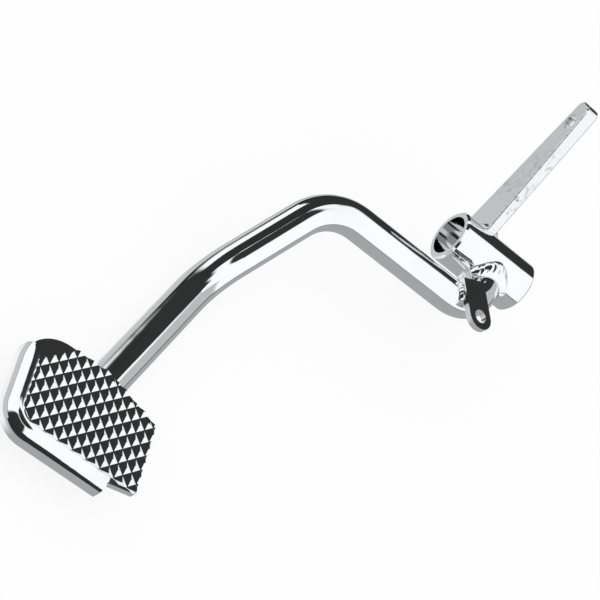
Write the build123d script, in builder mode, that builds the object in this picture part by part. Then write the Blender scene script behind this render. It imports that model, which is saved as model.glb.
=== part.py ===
from build123d import *

import os
from math import ceil, cos, radians, sin, tan

# Rear brake pedal, a chrome-plated weldment. Sizes are in millimetres and angles in degrees.
# +X is forward, +Y is inboard and +Z is up. The pivot axis runs along Y through the tube's middle.

# Pivot tube
tube_od = 22.0
tube_bore = 17.0
tube_length = 38.0
tube_chamfer = 0.8

# Pedal arm: a solid round bar with three bends
bar_d = 14.0
arm_inboard = 2.0
lateral_ahead = 27.25
lateral_outboard = 77.0
knee_ahead = 77.25
knee_outboard = 107.4
knee_drop = 21.0
last_run_heading = 21.0
last_run_length = 97.8
bar_past_middle = 6.0
bar_end_chamfer = 1.2
root_bend = 16.0
crest_bend = 26.0
knee_bend = 70.0
seat_flat = 0.6

# Foot pad: pressed sheet with a skirt rolled down on its outboard and front sides
pad_width = 55.4
pad_depth = 41.4
pad_sheet = 2.5
skirt_bend = 5.0
skirt_depth = 7.5
front_corner = 7.0
skirt_behind = 14.8
rear_corner = 20.0
skirt_tail = 16.0
tail_lip = 3.5
bare_front = 10.9
front_lip = 2.4
slant_length = 22.3
slant_depth = 7.4
rear_rounding = 15.5

# Tread: square pyramids on a grid at 45 degrees to the pad's edges
tooth_pitch = 4.26
tooth_height = 0.85
tooth_flat = 0.35
tooth_gap = 0.45
tooth_base = 0.15
tooth_margin = 0.3
bare_corner = 25.0

# Brake rod lever: a forged taper, wide and thin at its root, narrow and thick at its tip
lever_outboard = 4.4
lever_rise = 55.6
lever_behind = 11.7
lever_root_width = 19.4
lever_tip_width = 9.2
lever_root_thickness = 4.2
lever_tip_thickness = 5.8
lever_hole_reach = 63.8
lever_hole_d = 6.6
lever_past_hole = 9.5
lever_tip_rounding = 3.0
lever_root_cut = 5.0
lever_edge_break = 0.5

# Spring tab: a small plate across the top of the arm's first bend
tab_swing = 26.0
tab_width = 11.2
tab_sheet = 2.5
tab_hole_d = 5.6
tab_hole_clearance = 0.5
tab_length = 21.0
tab_seat = 0.5

# Weld beads
arm_weld = 3.0
arm_weld_break = 1.6
lever_weld = 2.4
tab_weld = 1.6
tab_weld_run = 8.0
pad_weld_depth = 3.5
pad_weld_width = 2.2
pad_weld_inset = 2.5

# Places along the arm's centre line
bar_r = bar_d / 2
tube_r = tube_od / 2
heading = Vector(cos(radians(last_run_heading)), -sin(radians(last_run_heading)), 0)
arm_foot = Vector(0, arm_inboard, 0)
root_corner = Vector(lateral_ahead, arm_inboard, 0)
crest_corner = Vector(lateral_ahead, -lateral_outboard, 0)
knee_corner = Vector(knee_ahead, -knee_outboard, -knee_drop)
pad_middle = knee_corner + heading * last_run_length
bar_end = pad_middle + heading * bar_past_middle

# The pad's underside rests on a flat that is pressed on the bar's crown
pad_under = Plane(origin=pad_middle + Vector(0, 0, bar_r - seat_flat))
pad_top = pad_under.offset(pad_sheet)

# Pad places in its own plan, measured from its middle
half_width = pad_width / 2
half_depth = pad_depth / 2
bend_x = half_depth - skirt_bend
bend_y = skirt_bend - half_width
skirt_end = half_width - bare_front
tail_start = (rear_corner + skirt_bend) * sin(radians(skirt_tail)) - skirt_behind

# The weld under the pad starts behind the pad's middle, inside its slanting rear edge
pad_weld_skew = (bar_r + pad_weld_width) * tan(radians(last_run_heading))
pad_weld_back = half_depth / cos(radians(last_run_heading)) - pad_weld_skew - pad_weld_inset
pad_weld_start = pad_under.origin - heading * pad_weld_back

# Lever directions: along its length, and across it towards the rear
lever_along = Vector(-cos(radians(lever_rise)), 0, sin(radians(lever_rise)))
lever_across = Vector(-sin(radians(lever_rise)), 0, -cos(radians(lever_rise)))
lever_foot = Vector(0, -lever_outboard, 0) + lever_across * lever_behind
lever_length = lever_hole_reach + lever_past_hole
lever_hole = lever_foot + lever_along * lever_hole_reach

# The spring tab points away from the centre of the arm's first bend
bend_centre = Vector(lateral_ahead - root_bend, arm_inboard - root_bend, 0)
tab_along = Vector(cos(radians(tab_swing)), sin(radians(tab_swing)), 0)
tab_hole_reach = root_bend + bar_r + tab_hole_d / 2 + tab_hole_clearance
tab_hole = bend_centre + tab_along * tab_hole_reach
tab_under = Plane(origin=tab_hole + Vector(0, 0, bar_r - tab_seat), x_dir=tab_along)

# Centre line of the bar: straight runs joined by tangent arcs
with BuildLine() as arm_line:
    FilletPolyline(
        arm_foot, root_corner, crest_corner, knee_corner, bar_end, radius=[root_bend, crest_bend, knee_bend]
    )

# Line where the flat of the pad starts to roll down, from the front skirt's end to its tail
with BuildLine() as bend_line:
    front = Line((bend_x, skirt_end), (bend_x, bend_y + front_corner))
    JernArc(front @ 1, front % 1, front_corner, -90)
    side = Line((bend_x - front_corner, bend_y), (tail_start, bend_y))
    tail = JernArc(side @ 1, side % 1, rear_corner, -skirt_tail)

# Plan of the pad's flat: the bend line, then the bare edges at the rear, inboard and front
with BuildSketch() as pad_plan:
    with BuildLine():
        add(bend_line.line)
        lip = Line(tail @ 1, tail @ 1 + (tail % 1).rotate(Axis.Z, 90) * tail_lip)
        rear_start = (-half_depth, rear_rounding - half_width)
        TangentArc(rear_start, lip @ 1, tangent=(0, -1))
        Polyline(
            rear_start,
            (-half_depth, half_width - slant_length),
            (slant_depth - half_depth, half_width),
            (bend_x, half_width),
            (bend_x + front_lip, skirt_end),
            (bend_x, skirt_end),
        )
    make_face()


def tube_cylinder(grown, mode):
    """The tube's outside, grown by a bead's size, as a cutter or a limit for what is welded to it."""
    Cylinder(tube_r + grown, tube_length, rotation=(90, 0, 0), mode=mode)


def lever_taper(root, tip):
    """A trapezium along the lever, from its root's size to its tip's."""
    Polygon((0, root / 2), (0, -root / 2), (lever_length, -tip / 2), (lever_length, tip / 2))


with BuildPart() as pivot_tube:
    with BuildSketch(Plane.XZ.offset(-tube_length / 2)):
        Circle(tube_r)
        Circle(tube_bore / 2, mode=Mode.SUBTRACT)
    extrude(amount=tube_length)
    rims = pivot_tube.edges().filter_by(GeomType.CIRCLE).group_by(SortBy.RADIUS)[-1]
    chamfer(rims, tube_chamfer)

with BuildPart() as pedal_arm:
    with BuildSketch(Plane(origin=arm_foot, z_dir=(1, 0, 0))):
        Circle(bar_r)
    sweep(path=arm_line.line)
    chamfer(pedal_arm.edges().sort_by(Axis.X)[-1], bar_end_chamfer)
    tube_cylinder(0, Mode.SUBTRACT)
    with BuildSketch(pad_under):
        add(pad_plan.sketch)
    extrude(amount=bar_d, mode=Mode.SUBTRACT)

with BuildPart() as foot_pad:
    # Flat of the pad
    with BuildSketch(pad_top):
        add(pad_plan.sketch)
    extrude(amount=-pad_sheet)
    # Skirt: the sheet's section rolled down and carried along the bend line
    skirt_start = pad_top.from_local_coords(Vector(bend_x, skirt_end, 0))
    with BuildSketch(Plane(origin=skirt_start, x_dir=(1, 0, 0), z_dir=(0, -1, 0))):
        with BuildLine():
            outer = JernArc((0, 0), (1, 0), skirt_bend, -90)
            inner = JernArc((0, -pad_sheet), (1, 0), skirt_bend - pad_sheet, -90)
            Line((0, 0), (0, -pad_sheet))
            Polyline(outer @ 1, (skirt_bend, -skirt_depth), (skirt_bend - pad_sheet, -skirt_depth), inner @ 1)
        make_face()
    sweep(path=bend_line.line.moved(pad_top.location))
    # Tread: a slab over the flat, cut into pyramids by two sets of V grooves
    with BuildSketch(pad_top):
        add(pad_plan.sketch)
        with Locations((bend_x - tooth_margin, bend_y + tooth_margin)):
            Rectangle(pad_depth, pad_width, align=(Align.MAX, Align.MIN), mode=Mode.INTERSECT)
        with Locations((-half_depth, -half_width)):
            Rectangle(bare_corner, bare_corner, rotation=45, mode=Mode.SUBTRACT)
    extrude(amount=tooth_base + tooth_height)
    groove_reach = half_width + half_depth
    groove_count = 2 * ceil(groove_reach / tooth_pitch)
    groove_half = (tooth_pitch - tooth_flat) / 2
    tooth_top = tooth_base + tooth_height
    for turn in (45, 135):
        across = Vector(1, 0, 0).rotate(Axis.Z, turn)
        along = across.rotate(Axis.Z, -90)
        with BuildSketch(Plane(origin=pad_top.origin, x_dir=across, z_dir=along)):
            with GridLocations(tooth_pitch, 1, groove_count, 1):
                Polygon(
                    (-groove_half, tooth_top + tooth_height),
                    (-groove_half, tooth_top),
                    (-tooth_gap / 2, tooth_base),
                    (tooth_gap / 2, tooth_base),
                    (groove_half, tooth_top),
                    (groove_half, tooth_top + tooth_height),
                )
        extrude(amount=groove_reach, both=True, mode=Mode.SUBTRACT)

with BuildPart() as brake_rod_lever:
    # The taper seen from the side, cut to the taper seen along its edge
    with BuildSketch(Plane(origin=lever_foot, x_dir=lever_along, z_dir=(0, -1, 0))):
        lever_taper(lever_root_width, lever_tip_width)
    extrude(amount=lever_tip_thickness, both=True)
    with BuildSketch(Plane(origin=lever_foot, x_dir=lever_along, z_dir=lever_across)):
        lever_taper(lever_root_thickness, lever_tip_thickness)
    extrude(amount=lever_root_width, both=True, mode=Mode.INTERSECT)
    ends = brake_rod_lever.edges().filter_by(Axis.Y)
    tip_corners = ends.sort_by(Axis.Z)[-2:]
    rear_corner_edge = ends.sort_by(Axis.Z)[0]
    fillet(tip_corners, lever_tip_rounding)
    chamfer(rear_corner_edge, lever_root_cut)
    long_edges = brake_rod_lever.edges().filter_by(lambda edge: edge.length > lever_length / 2)
    chamfer(long_edges, lever_edge_break)
    with Locations(lever_hole):
        Cylinder(lever_hole_d / 2, lever_root_width, rotation=(90, 0, 0), mode=Mode.SUBTRACT)
    tube_cylinder(0, Mode.SUBTRACT)

with BuildPart() as spring_tab:
    with BuildSketch(tab_under):
        Circle(tab_width / 2)
        Rectangle(tab_length - tab_width / 2, tab_width, align=(Align.MAX, Align.CENTER))
        Circle(tab_hole_d / 2, mode=Mode.SUBTRACT)
    extrude(amount=tab_sheet)
    add(pedal_arm.part, mode=Mode.SUBTRACT)

with BuildPart() as arm_weld_bead:
    with BuildSketch(Plane(origin=arm_foot, z_dir=(1, 0, 0))):
        Circle(bar_r + arm_weld)
    extrude(amount=tube_od)
    tube_cylinder(arm_weld, Mode.INTERSECT)
    chamfer(arm_weld_bead.edges().sort_by(Axis.X)[-1], arm_weld_break)
    tube_cylinder(0, Mode.SUBTRACT)
    add(pedal_arm.part, mode=Mode.SUBTRACT)

with BuildPart() as lever_weld_bead:
    with BuildSketch(Plane(origin=lever_foot, x_dir=lever_across, z_dir=lever_along)):
        Rectangle(lever_root_width + 2 * lever_weld, lever_root_thickness + 2 * lever_weld)
    extrude(amount=tube_od)
    tube_cylinder(lever_weld, Mode.INTERSECT)
    tube_cylinder(0, Mode.SUBTRACT)
    add(brake_rod_lever.part, mode=Mode.SUBTRACT)

with BuildPart() as tab_weld_bead:
    with BuildSketch(Plane(origin=arm_foot, z_dir=(1, 0, 0))):
        Circle(bar_r + tab_weld)
    sweep(path=arm_line.line)
    with BuildSketch(tab_under.offset(-tab_weld)):
        with Locations((root_bend - tab_hole_reach, 0)):
            with GridLocations(1, tab_width + tab_weld, 1, 2):
                Rectangle(tab_weld_run, tab_weld)
    extrude(amount=tab_weld + tab_sheet, mode=Mode.INTERSECT)
    add(pedal_arm.part, mode=Mode.SUBTRACT)
    add(spring_tab.part, mode=Mode.SUBTRACT)

with BuildPart() as pad_weld_bead:
    with BuildSketch(Plane(origin=pad_weld_start, x_dir=heading.rotate(Axis.Z, 90), z_dir=heading)):
        with BuildLine():
            Polyline(
                (-bar_r - pad_weld_width, 0),
                (bar_r + pad_weld_width, 0),
                (bar_r, -pad_weld_depth),
                (-bar_r, -pad_weld_depth),
                close=True,
            )
        make_face()
    extrude(amount=pad_weld_back + bar_past_middle - pad_weld_inset)
    add(pedal_arm.part, mode=Mode.SUBTRACT)

os.makedirs("parts", exist_ok=True)
nodes = {
    "pivot_tube": pivot_tube,
    "pedal_arm": pedal_arm,
    "foot_pad": foot_pad,
    "brake_rod_lever": brake_rod_lever,
    "spring_tab": spring_tab,
    "arm_weld_bead": arm_weld_bead,
    "lever_weld_bead": lever_weld_bead,
    "tab_weld_bead": tab_weld_bead,
    "pad_weld_bead": pad_weld_bead,
}
for node, piece in nodes.items():
    piece.part.label = node
    export_step(piece.part, f"parts/{node}.step")
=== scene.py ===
# %% [markdown]
# # A chrome brake pedal
# The solids of this pedal come from CAD and are loaded as a fixed frame. Blender adds what CAD leaves out:
# the plating on each piece, the ripples of the weld beads, and a studio for the chrome to mirror.
# Chrome has hardly any colour of its own, so most of its look is decided by what stands round it.

import bmesh
import bpy
import numpy as np
from mathutils import Matrix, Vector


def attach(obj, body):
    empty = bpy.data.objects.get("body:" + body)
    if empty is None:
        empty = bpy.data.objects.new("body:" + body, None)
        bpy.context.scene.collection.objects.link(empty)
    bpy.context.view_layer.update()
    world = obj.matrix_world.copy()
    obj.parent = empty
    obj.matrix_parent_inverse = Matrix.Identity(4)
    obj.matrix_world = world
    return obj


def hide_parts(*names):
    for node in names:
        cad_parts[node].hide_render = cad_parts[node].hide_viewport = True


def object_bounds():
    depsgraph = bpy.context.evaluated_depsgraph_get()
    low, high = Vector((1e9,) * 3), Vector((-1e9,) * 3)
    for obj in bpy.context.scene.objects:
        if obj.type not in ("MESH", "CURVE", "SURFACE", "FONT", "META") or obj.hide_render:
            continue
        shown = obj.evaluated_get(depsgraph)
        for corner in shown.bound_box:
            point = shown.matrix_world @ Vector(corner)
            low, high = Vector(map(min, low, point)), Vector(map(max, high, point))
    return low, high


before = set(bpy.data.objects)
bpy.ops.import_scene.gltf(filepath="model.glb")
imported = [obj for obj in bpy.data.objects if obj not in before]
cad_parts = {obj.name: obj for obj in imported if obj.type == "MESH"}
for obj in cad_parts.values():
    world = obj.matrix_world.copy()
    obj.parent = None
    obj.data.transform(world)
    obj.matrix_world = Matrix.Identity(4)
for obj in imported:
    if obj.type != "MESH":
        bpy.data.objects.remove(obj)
cad_box = [list(corner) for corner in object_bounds()]
print("solids:", ", ".join(sorted(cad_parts)))
print("CAD box:", cad_box)

# %% [markdown]
# ## The camera
# The picture is taken with a long lens from in front of the pedal, outboard of it and above it. The pedal's
# forward direction runs down and to the left in the frame, so the camera is rolled. A camera's matrix holds
# three directions and a place, so they can be written down as they are: right, up, and back to the viewer.

# %% Place the camera
CAMERA_PLACE = np.array((0.6491, -0.46603, 0.59272))
VIEW_RIGHT = np.array((-0.1996, 0.72112, 0.66343))
VIEW_DOWN = np.array((0.75211, 0.54673, -0.36799))
VIEW_AWAY = np.array((-0.62808, 0.42552, -0.65149))
LENS_MM = 150.0
SENSOR_MM = 36.0

camera_data = bpy.data.cameras.new("camera")
camera_data.lens = LENS_MM
camera_data.sensor_width = SENSOR_MM
camera = bpy.data.objects.new("camera", camera_data)
axes = np.eye(4)
axes[:3, 0] = VIEW_RIGHT
axes[:3, 1] = -VIEW_DOWN
axes[:3, 2] = -VIEW_AWAY
axes[:3, 3] = CAMERA_PLACE
camera.matrix_world = Matrix(axes.tolist())
bpy.context.collection.objects.link(camera)
bpy.context.scene.camera = camera
bpy.context.scene.view_settings.view_transform = "Standard"
print("camera at", CAMERA_PLACE, "with a lens of", camera_data.lens, "mm")

# %% [markdown]
# ## Shader maths as plain expressions
# A material is a graph of nodes, and a formula in it takes a Math node for each sign. To keep formulas easy to
# read, the class below wraps a socket and gives it Python's signs, so that `1 - mask * 0.5` adds the nodes by
# itself. Every other kind of node comes from one method, which sets the node's settings first and its inputs
# after them.


# %% Sockets with arithmetic
class Value:
    """A number socket that adds Math nodes when Python's signs are used on it."""

    def __init__(self, shader, socket):
        self.shader = shader
        self.socket = socket

    def math(self, operation, *others):
        made = self.shader.node("ShaderNodeMath", {"operation": operation}, (self, *others))
        return Value(self.shader, made.outputs[0])

    def __add__(self, other):
        return self.math("ADD", other)

    def __sub__(self, other):
        return self.math("SUBTRACT", other)

    def __rsub__(self, other):
        return Value.math(self * -1, "ADD", other)

    def __mul__(self, other):
        return self.math("MULTIPLY", other)

    def __truediv__(self, other):
        return self.math("DIVIDE", other)

    def __abs__(self):
        return self.math("ABSOLUTE")

    __radd__ = __add__
    __rmul__ = __mul__

    def most(self, other):
        return self.math("MAXIMUM", other)

    def step(self, low, high):
        """0 below low and 1 above high, with a smooth change between them."""
        settings = {"interpolation_type": "SMOOTHSTEP"}
        inputs = {"Value": self, "From Min": low, "From Max": high}
        made = self.shader.node("ShaderNodeMapRange", settings, inputs)
        return Value(self.shader, made.outputs["Result"])


class Shader:
    """A node graph, of a material or of the world, with one method that makes its nodes."""

    def __init__(self, owner):
        owner.use_nodes = True
        self.tree = owner.node_tree
        self.tree.nodes.clear()

    def node(self, kind, settings=(), inputs=()):
        """A node of this kind: its settings first, then its inputs by name or in order."""
        made = self.tree.nodes.new(kind)
        for name, setting in dict(settings).items():
            setattr(made, name, setting)
        named = inputs.items() if isinstance(inputs, dict) else enumerate(inputs)
        for key, given in named:
            given = given.socket if isinstance(given, Value) else given
            if isinstance(given, bpy.types.NodeSocket):
                self.tree.links.new(given, made.inputs[key])
            else:
                made.inputs[key].default_value = given
        return made

    def place(self):
        """The three object coordinates, in metres, as values."""
        spot = self.node("ShaderNodeTexCoord").outputs["Object"]
        parts = self.node("ShaderNodeSeparateXYZ", (), (spot,))
        return [Value(self, parts.outputs[axis]) for axis in range(3)]

    def along(self, place, direction, origin=(0, 0, 0)):
        """How far a place lies from an origin along a direction."""
        shift = float(np.dot(origin, direction))
        parts = [spot * float(part) for spot, part in zip(place, direction) if abs(part) > 1e-6]
        return sum(parts[1:], parts[0]) - shift

    def noise(self, scale, detail):
        """Noise between 0 and 1 in object space, with about this many features in a metre."""
        spot = self.node("ShaderNodeTexCoord").outputs["Object"]
        inputs = {"Vector": spot, "Scale": scale, "Detail": detail}
        return Value(self, self.node("ShaderNodeTexNoise", (), inputs).outputs["Fac"])

    def mix(self, factor, first, second):
        """A colour between two colours."""
        settings = {"data_type": "RGBA"}
        inputs = {0: factor, 6: first, 7: second}
        return self.node("ShaderNodeMix", settings, inputs).outputs[2]

    def bump(self, height, strength, depth):
        """A surface normal disturbed by a height between 0 and 1 that stands for a depth in metres."""
        inputs = {"Height": height, "Strength": strength, "Distance": depth}
        return self.node("ShaderNodeBump", (), inputs).outputs["Normal"]


print("shader helpers ready")

# %% [markdown]
# ## Floor and daylight
# The pedal lies on white paper under even light from all round. The world is plain white. The floor is pale and
# takes the pedal's soft shadow, and most of its own shade is lifted to white where the camera sees it, as a
# photographer does by lighting the paper from below. Nothing more falls on the pedal for that.

# %% World and floor
FLOOR_GAP = 0.0005
FLOOR_HALF = 4.0
PAPER_LIFT = 0.85
PAPER = (0.95, 0.95, 0.95, 1)
WHITE = (1, 1, 1, 1)

world = bpy.data.worlds.new("daylight")
bpy.context.scene.world = world
sky = Shader(world)
sky_light = sky.node("ShaderNodeBackground", (), {"Color": WHITE, "Strength": 1.0})
sky.node("ShaderNodeOutputWorld", (), {"Surface": sky_light.outputs[0]})

floor_level = cad_box[0][2] - FLOOR_GAP
corners = np.array(((-1, -1), (1, -1), (1, 1), (-1, 1))) * FLOOR_HALF
floor_mesh = bpy.data.meshes.new("floor")
floor_mesh.from_pydata(np.column_stack((corners, np.full(4, floor_level))).tolist(), [], [(0, 1, 2, 3)])
floor = bpy.data.objects.new("floor", floor_mesh)
bpy.context.collection.objects.link(floor)

paper = bpy.data.materials.new("white_paper")
sheet = Shader(paper)
rays = sheet.node("ShaderNodeLightPath")
seen = Value(sheet, rays.outputs["Is Camera Ray"]).most(Value(sheet, rays.outputs["Is Glossy Ray"]))
seen = seen.most(Value(sheet, rays.outputs["Is Transmission Ray"]))
pale = sheet.node("ShaderNodeBsdfDiffuse", (), {"Color": PAPER})
lit = sheet.node("ShaderNodeEmission", (), {"Color": WHITE, "Strength": 1.0})
both = sheet.node("ShaderNodeMixShader", (), (seen * PAPER_LIFT, pale.outputs[0], lit.outputs[0]))
sheet.node("ShaderNodeOutputMaterial", (), {"Surface": both.outputs[0]})
floor_mesh.materials.append(paper)
# The chrome doesn't mirror this floor: the tent's lower half, with painted floor shade, stands in for it.
floor.visible_glossy = False
print("floor at", round(floor_level * 1000, 1), "mm")

# %% [markdown]
# ## The tent that the chrome mirrors
# Chrome in an all-white room looks like white plastic, so photographers stand dark panels round it. Here that is
# a tent: a dome, seen only in reflections, whose shade depends on direction alone. It is white above, has a dark
# panel behind the pedal, a dark gap in front for the camera and the camera's dark arm overhead. Below the horizon it
# stands in for the floor as the chrome mirrors it, with painted shade: grey in front, lighter outboard, and painted
# light close under the pedal, with a dark line at the horizon. The dome is a grid of two angles, worked out as whole
# arrays.


# %% Tent dome
def stage_mesh(name, points, faces):
    """A mesh object that belongs to the studio and is seen in reflections alone."""
    mesh = bpy.data.meshes.new(name)
    mesh.from_pydata(np.asarray(points, float).reshape(-1, 3).tolist(), [], [list(face) for face in faces])
    made = bpy.data.objects.new(name, mesh)
    bpy.context.collection.objects.link(made)
    made.visible_camera = False
    made.visible_diffuse = False
    made.visible_shadow = False
    made.visible_transmission = False
    made.visible_volume_scatter = False
    return made


def dome(name, centre, radius, columns=64, rows=32):
    """A sphere seen from inside: azimuth and elevation run over a grid, and a point is the centre plus the radius
    times (cos elevation cos azimuth, cos elevation sin azimuth, sin elevation)."""
    azimuth = np.linspace(0, 2 * np.pi, columns, endpoint=False)
    elevation = np.linspace(-np.pi / 2, np.pi / 2, rows)
    turn, rise = np.meshgrid(azimuth, elevation)
    unit = np.stack((np.cos(rise) * np.cos(turn), np.cos(rise) * np.sin(turn), np.sin(rise)), axis=-1)
    index = np.arange(rows * columns).reshape(rows, columns)
    ahead = np.roll(index, -1, axis=1)
    quads = np.stack((index[:-1], index[1:], ahead[1:], ahead[:-1]), axis=-1).reshape(-1, 4)
    return stage_mesh(name, unit * radius + np.array(centre), quads)


TENT_CENTRE = (0.07, -0.07, 0.0)
TENT_RADIUS = 3.0
tent = dome("tent", TENT_CENTRE, TENT_RADIUS)
print("tent of", len(tent.data.polygons), "faces")

# %% [markdown]
# Each zone of the tent is 1 inside and 0 outside, and the shade is white times one minus each dark zone. A zone is
# a range of azimuth times a range of height. The range of azimuth is read from the cosine of the angle to the
# zone's middle, which saves an arctangent.

# %% Shade of the tent by direction
TENT_WHITE = 1.12
TENT_BLACK = 0.03
# The next three values are painted shade and painted light of the mirrored floor: grey in front, lighter outboard,
# lighter near the pedal.
FLOOR_SHADE_FRONT = 0.42
FLOOR_SHADE_OUTBOARD = 0.62
FLOOR_LIGHT_NEAR = 0.4
SIDE_GREY = 0.5
HEIGHT_SOFT = 0.03

# This material holds the tent's panels and, below the horizon, the painted shade of the mirrored floor.
tent_glow_material = bpy.data.materials.new("tent_glow_with_painted_floor")
tent_shade = Shader(tent_glow_material)
tent_place = zip(tent_shade.place(), TENT_CENTRE)
east, north, up = [(spot - shift) * (1 / TENT_RADIUS) for spot, shift in tent_place]
level = (1 - up * up).most(0.0001).math("SQRT")


def zone(middle, half, soft, bottom, top):
    """1 inside a range of azimuth, in degrees, and of height, as the sine of the elevation."""
    turn = np.radians(middle)
    facing = (east * float(np.cos(turn)) + north * float(np.sin(turn))) / level
    wide = facing.step(np.cos(np.radians(half + soft)), np.cos(np.radians(max(half - soft, 0))))
    above = up.step(bottom - HEIGHT_SOFT, bottom + HEIGHT_SOFT)
    return wide * above * (1 - up.step(top - HEIGHT_SOFT, top + HEIGHT_SOFT))


back_panel = zone(171, 35, 2, -0.21, 0.79)
side_cloth = zone(122, 15, 3, -0.1, 0.6)
roll_panel = zone(180, 24, 4, 0.5, 0.86)
camera_gap = zone(-38, 36, 5, -0.1, 0.93)
camera_arm = up.step(0.94, 0.96)
line = 1 - abs(up + 0.02).step(0.014, 0.024)
# Below the horizon the tent is painted floor shade: darker in front, lighter outboard, and painted light close under
# the pedal.
below = 1 - up.step(-0.05, 0.0)
outboard = (north * -1 - east * 0.4).step(-0.2, 0.6)
near = 1 - up.step(-0.7, -0.6)
painted_floor_shade = outboard * (near * FLOOR_LIGHT_NEAR + FLOOR_SHADE_OUTBOARD - FLOOR_SHADE_FRONT) + FLOOR_SHADE_FRONT
bright_room = below * (painted_floor_shade - TENT_WHITE) + TENT_WHITE
bright_room = bright_room * (1 - side_cloth * (1 - SIDE_GREY))
clear = (1 - back_panel) * (1 - roll_panel) * (1 - camera_gap) * (1 - camera_arm) * (1 - line)
shade = bright_room * (clear * (1 - TENT_BLACK) + TENT_BLACK)
glow = tent_shade.node("ShaderNodeEmission", (), {"Color": WHITE, "Strength": shade})
tent_shade.node("ShaderNodeOutputMaterial", (), {"Surface": glow.outputs[0]})
tent.data.materials.append(tent_glow_material)
print("tent shaded with", len(tent_glow_material.node_tree.nodes), "nodes")

# %% [markdown]
# Two black cards stand closer. One hangs above and behind the bar and draws the second dark stripe along its
# middle run. The other stands low in front of the pad and darkens the turn of its skirt. Cards that stand close
# are seen by a few surfaces only, which a zone on the far tent can't do.

# %% Black cards
BAR_CARD = (
    (-0.024, -0.236, 0.25),
    (-0.116, -0.104, 0.25),
    (-0.43, -0.32, 0.25),
    (-0.335, -0.455, 0.25),
)
SKIRT_CARD = (
    (0.45, -0.6, -0.2),
    (0.45, 0.03, -0.1),
    (0.45, 0.03, -0.06),
    (0.45, -0.03, 0.09),
    (0.45, -0.6, 0.2),
)

black = bpy.data.materials.new("black_card")
card_shade = Shader(black)
card_glow = card_shade.node("ShaderNodeEmission", (), {"Color": WHITE, "Strength": TENT_BLACK})
card_shade.node("ShaderNodeOutputMaterial", (), {"Surface": card_glow.outputs[0]})
for card_name, card_corners in (("bar_card", BAR_CARD), ("skirt_card", SKIRT_CARD)):
    card = stage_mesh(card_name, card_corners, [range(len(card_corners))])
    card.data.materials.append(black)
    print("placed", card_name)

# %% [markdown]
# ## Plating
# All the pieces were welded together and then plated in one bath, so they share one finish: a mirror with a hint
# of blue-grey. What differs is the metal below it. Drawn bar and tube are smooth, pressed sheet is a little wavy,
# and the forged lever keeps the scale and shear marks of its blank. One function makes the plating, and each
# caller gives it the waviness and the haze of its own metal.


# %% Chrome over a given metal
CHROME = (0.86, 0.87, 0.88, 1)
CHROME_DULL = (0.74, 0.75, 0.765, 1)


def plating(name, haze, wave, wave_depth, smooth=0.04, hazy=0.22, dull=CHROME_DULL):
    """Chrome whose roughness and tint follow a haze value, with a waviness as bump."""
    material = bpy.data.materials.new(name)
    shader = Shader(material)
    cloud = haze(shader)
    inputs = {
        "Base Color": shader.mix(cloud, CHROME, dull),
        "Metallic": 1.0,
        "Roughness": cloud * (hazy - smooth) + smooth,
        "Normal": shader.bump(wave(shader), 1.0, wave_depth),
    }
    surface = shader.node("ShaderNodeBsdfPrincipled", (), inputs)
    shader.node("ShaderNodeOutputMaterial", (), {"Surface": surface.outputs[0]})
    return material


def wear(node, material):
    """Gives a CAD node this material in place of its own."""
    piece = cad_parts[node]
    piece.data.materials.clear()
    piece.data.materials.append(material)
    print(node, "wears", material.name)


# %% [markdown]
# ## Bar and tube
# The arm is drawn round bar and the tube is drawn tube. Their mirror is clean, with a faint long ripple and a few
# hazy patches where hands have been.

# %% Bright chrome
bright = plating(
    "bright_chrome",
    haze=lambda shader: shader.noise(35, 4).step(0.5, 0.8) * 0.35,
    wave=lambda shader: shader.noise(90, 1),
    wave_depth=0.00006,
)
wear("pivot_tube", bright)
wear("pedal_arm", bright)

# %% [markdown]
# ## Pad and tab
# These are pressed from sheet. The sheet moved in the press, so the mirror is a little wavy. The tread needs no
# shade of its own: some faces of its teeth mirror the tent's dark panel, and the others mirror the white.

# %% Pressed chrome
pressed = plating(
    "pressed_chrome",
    haze=lambda shader: shader.noise(60, 4).step(0.45, 0.85) * 0.4,
    wave=lambda shader: shader.noise(140, 2),
    wave_depth=0.00005,
)
wear("foot_pad", pressed)
wear("spring_tab", pressed)

# %% [markdown]
# ## Lever
# The lever was sheared from plate and forged, and only brushed before plating. Its broad faces are satin, with
# patches of pits. Its edges kept the torn grain of the shear, so they are rougher. Distance along and across the
# lever tells the edges from the faces, because the lever tapers evenly.

# %% Forged chrome
MM = 0.001
LEVER_RISE = np.radians(55.6)
LEVER_ALONG = np.array((-np.cos(LEVER_RISE), 0, np.sin(LEVER_RISE)))
LEVER_ACROSS = np.array((-np.sin(LEVER_RISE), 0, -np.cos(LEVER_RISE)))
LEVER_Y = -4.4 * MM
LEVER_OFFSET = 11.7 * MM
LEVER_FOOT = np.array((0, LEVER_Y, 0)) + LEVER_ACROSS * LEVER_OFFSET
LEVER_ROOT_HALF = 9.7 * MM
LEVER_TIP_HALF = 4.6 * MM
LEVER_LENGTH = 73.3 * MM
LEVER_DULL = (0.42, 0.425, 0.43, 1)


def lever_edge(shader):
    """1 on the sheared edges: where the distance across the lever comes up to half of its width there."""
    place = shader.place()
    far = shader.along(place, LEVER_ALONG, LEVER_FOOT)
    aside = abs(shader.along(place, LEVER_ACROSS, LEVER_FOOT))
    half = far * ((LEVER_TIP_HALF - LEVER_ROOT_HALF) / LEVER_LENGTH) + LEVER_ROOT_HALF
    return (aside - half).step(-0.5 * MM, -0.2 * MM)


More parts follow.
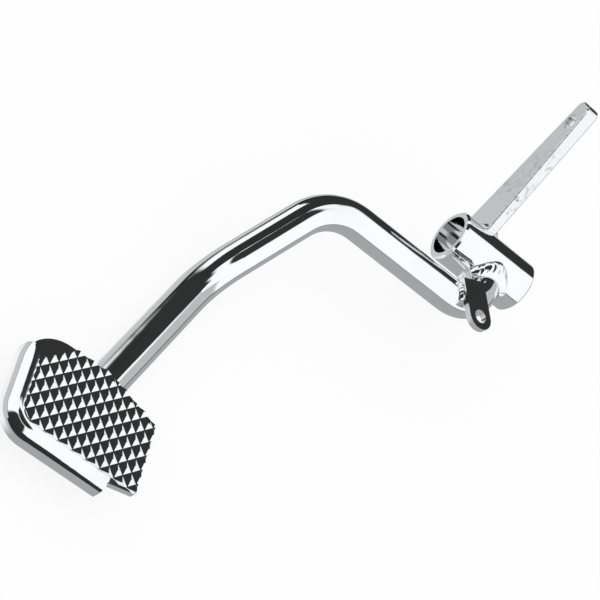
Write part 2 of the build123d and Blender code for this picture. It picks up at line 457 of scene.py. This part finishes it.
def lever_haze(shader):
    """Patches of pits on the faces, stronger on the edges, that end short of the tip and its hole."""
    patches = shader.noise(60, 2).step(0.46, 0.58)
    pits = shader.noise(420, 4).step(0.46, 0.68)
    far = shader.along(shader.place(), LEVER_ALONG, LEVER_FOOT)
    lower = 1 - far.step(0.6 * LEVER_LENGTH, 0.75 * LEVER_LENGTH)
    return pits * patches * lower * (lever_edge(shader) * 0.5 + 0.5) + 0.1


forged = plating(
    "forged_chrome",
    haze=lever_haze,
    wave=lambda shader: shader.noise(500, 2) * (lever_edge(shader) * 0.8 + 0.08),
    wave_depth=0.0001,
    smooth=0.2,
    hazy=0.45,
    dull=LEVER_DULL,
)
wear("brake_rod_lever", forged)

# %% [markdown]
# ## Weld beads
# A weld is a row of small pools of metal, each frozen over the edge of the one before, so its surface is
# rippled like a stack of coins. The CAD beads are smooth. Here each bead is a section carried along its seam:
# two edges, one on each of the joined pieces, with a swelling between them whose size goes up and down along the
# seam. The root of the section is sunk into the metal, so the bead is closed and leaves no slit.


# %% Bead surface
def bead_shell(first, second, seam, root, ripples, closed, bulge=1.0, depth=0.06, steps=14):
    """Points and faces of one bead. Along the seam, a section runs from its first edge to its second edge: the seam
    point plus cos(v) of the way to the first and sin(v) of the way to the second, with v from 0 to a right angle,
    and times 1 + depth * (|cos(pi * (ripples * t + lag))| - 2/3), where t is the share of the seam and the lag grows
    towards the section's middle. An open bead shrinks to nothing at its ends."""
    count = len(seam)
    share = np.arange(count) / (count if closed else count - 1)
    size = np.ones(count) if closed else np.clip(np.minimum(share, 1 - share) * 8, 0.02, 1) ** 0.5
    angle = np.linspace(0, np.pi / 2, steps)
    lag = 0.45 * np.sin(2 * angle)
    coin = np.abs(np.cos(np.pi * (ripples * share[:, None] + lag))) - 2 / 3
    swell = 1 + depth * coin * np.sin(2 * angle)
    towards_first = (np.cos(angle) ** bulge * swell * size[:, None])[..., None] * (first - seam)[:, None]
    towards_second = (np.sin(angle) ** bulge * swell * size[:, None])[..., None] * (second - seam)[:, None]
    face = seam[:, None] + towards_first + towards_second
    points = np.concatenate((face, root[:, None]), axis=1)
    around = steps + 1
    index = np.arange(count * around).reshape(count, around)
    here = index if closed else index[:-1]
    ahead = np.roll(index, -1, axis=0) if closed else index[1:]
    rings = (here, ahead, np.roll(ahead, -1, axis=1), np.roll(here, -1, axis=1))
    quads = np.stack(rings, axis=-1).reshape(-1, 4)
    caps = [] if closed else [index[0].tolist(), index[-1][::-1].tolist()]
    return points.reshape(-1, 3), quads.tolist() + caps


def bead(name, node, shells, material):
    """Joins shells into one piece with outward normals that stands for a CAD bead."""
    points = []
    faces = []
    for shell_points, shell_faces in shells:
        start = sum(len(block) for block in points)
        faces += [[corner + start for corner in face] for face in shell_faces]
        points.append(shell_points)
    mesh = bpy.data.meshes.new(name)
    mesh.from_pydata(np.concatenate(points).tolist(), [], faces)
    shape = bmesh.new()
    shape.from_mesh(mesh)
    bmesh.ops.recalc_face_normals(shape, faces=shape.faces)
    shape.to_mesh(mesh)
    shape.free()
    mesh.polygons.foreach_set("use_smooth", np.ones(len(mesh.polygons), bool))
    mesh.materials.append(material)
    piece = bpy.data.objects.new(name, mesh)
    bpy.context.collection.objects.link(piece)
    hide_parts(node)
    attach(piece, "root")
    print(name, "has", len(mesh.polygons), "faces and stands for", node)
    return piece


# %% [markdown]
# The plating over a weld is as bright as elsewhere, with more haze in small patches spread by noise.

# %% Weld chrome
welded = plating(
    "weld_chrome",
    haze=lambda shader: shader.noise(260, 4).step(0.4, 0.75) * 0.6,
    wave=lambda shader: shader.noise(400, 2),
    wave_depth=0.00004,
    smooth=0.06,
)
TUBE_R = 11 * MM
BAR_R = 7 * MM
SINK = 0.5 * MM
HAIR = 0.05 * MM

# %% [markdown]
# The arm's bead follows the saddle where the round bar meets the round tube. Round the bar by an angle, a point
# of the bar at radius r lies r cos(angle) to the side and r sin(angle) up, and meets a cylinder of radius R about
# the pivot axis at a distance ahead of the square root of R squared minus its height squared.

# %% Arm bead
ARM_INBOARD = 2 * MM
ARM_WELD = 3 * MM
ring = np.linspace(0, 2 * np.pi, 312, endpoint=False)


def saddle(bar_radius, tube_radius):
    """The curve where a cylinder round the bar meets a cylinder round the pivot axis."""
    height = bar_radius * np.sin(ring)
    ahead = np.sqrt(tube_radius**2 - height**2)
    return np.column_stack((ahead, ARM_INBOARD + bar_radius * np.cos(ring), height))


arm_shell = bead_shell(
    first=saddle(BAR_R - 0.02 * MM, TUBE_R + ARM_WELD),
    second=saddle(BAR_R + ARM_WELD, TUBE_R - 0.02 * MM),
    seam=saddle(BAR_R, TUBE_R),
    root=saddle(BAR_R - SINK, TUBE_R - SINK),
    ripples=24,
    closed=True,
    bulge=0.8,
)
bead("arm_weld_ripples", "arm_weld_bead", [arm_shell], welded)

# %% [markdown]
# The lever stands on edge on the tube, so it has a bead on each side, along an arc of the tube's own circle.

# %% Lever beads
LEVER_HALF_SHEET = 2.1 * MM
LEVER_WELD = 2.4 * MM
arc = np.radians(np.linspace(137, 213, 120))


def on_tube(radius, aside):
    """The arc at a radius from the pivot axis, in a plane at this place along it."""
    return np.column_stack((radius * np.cos(arc), np.full(len(arc), aside), radius * np.sin(arc)))


lever_shells = []
for side in (-1, 1):
    wall = LEVER_Y + side * LEVER_HALF_SHEET
    lever_shells.append(
        bead_shell(
            first=on_tube(TUBE_R + LEVER_WELD, wall - side * 2 * HAIR),
            second=on_tube(TUBE_R - HAIR, wall + side * LEVER_WELD),
            seam=on_tube(TUBE_R, wall),
            root=on_tube(TUBE_R - SINK, wall - side * SINK),
            ripples=9,
            closed=False,
        )
    )
bead("lever_weld_ripples", "lever_weld_bead", lever_shells, welded)

# %% [markdown]
# The spring tab lies across the crown of the arm's first bend, with a bead along each of its sides. The bar there
# is part of a ring, so its height follows from the distance to the bend's centre.

# %% Tab beads
BEND_CENTRE = np.array((11.25, -14.0)) * MM
BEND_R = 16 * MM
TAB_SWING = np.radians(26)
TAB_ALONG = np.array((np.cos(TAB_SWING), np.sin(TAB_SWING)))
TAB_ASIDE = np.array((-np.sin(TAB_SWING), np.cos(TAB_SWING)))
TAB_HALF = 5.6 * MM
TAB_WELD = 1.6 * MM
run = np.linspace(-4, 4, 80) * MM


def on_bend(aside, lift=0.0):
    """A line on the bar's crown beside the tab, lifted off the bar or sunk into it."""
    flat = BEND_CENTRE + (BEND_R + run)[:, None] * TAB_ALONG + aside * TAB_ASIDE
    off_line = np.linalg.norm(flat - BEND_CENTRE, axis=1) - BEND_R
    return np.column_stack((flat, np.sqrt(np.maximum(BAR_R**2 - off_line**2, 0)) + lift))


tab_shells = []
for side in (-1, 1):
    tab_shells.append(
        bead_shell(
            first=on_bend(side * (TAB_HALF - HAIR), TAB_WELD),
            second=on_bend(side * (TAB_HALF + TAB_WELD), -HAIR),
            seam=on_bend(side * TAB_HALF),
            root=on_bend(side * (TAB_HALF - SINK), -SINK),
            ripples=5,
            closed=False,
        )
    )
bead("tab_weld_ripples", "tab_weld_bead", tab_shells, welded)

# %% [markdown]
# Below the pad a long bead on each side of the bar fills the wedge between the bar and the sheet.

# %% Pad beads
PAD_MIDDLE = np.array((168.555, -142.449, -14.6)) * MM
HEADING = np.radians(21)
PAD_AHEAD = np.array((np.cos(HEADING), -np.sin(HEADING), 0))
PAD_ASIDE = np.array((np.sin(HEADING), np.cos(HEADING), 0))
PAD_WELD_FROM = -15.9 * MM
PAD_WELD_TO = 3.3 * MM
along_bar = np.linspace(PAD_WELD_FROM, PAD_WELD_TO, 220)


def below_pad(aside, lift):
    """A line under the pad, beside the bar's middle and above or below the sheet's underside."""
    return PAD_MIDDLE + along_bar[:, None] * PAD_AHEAD + aside * PAD_ASIDE + np.array((0, 0, lift))


pad_shells = []
for side in (-1, 1):
    pad_shells.append(
        bead_shell(
            first=below_pad(side * 9.2 * MM, HAIR),
            second=below_pad(side * 6.2 * MM, -3.5 * MM),
            seam=below_pad(side * 5.2 * MM, -1.0 * MM),
            root=below_pad(side * 3.2 * MM, 0.3 * MM),
            ripples=14,
            closed=False,
        )
    )
bead("pad_weld_ripples", "pad_weld_bead", pad_shells, welded)
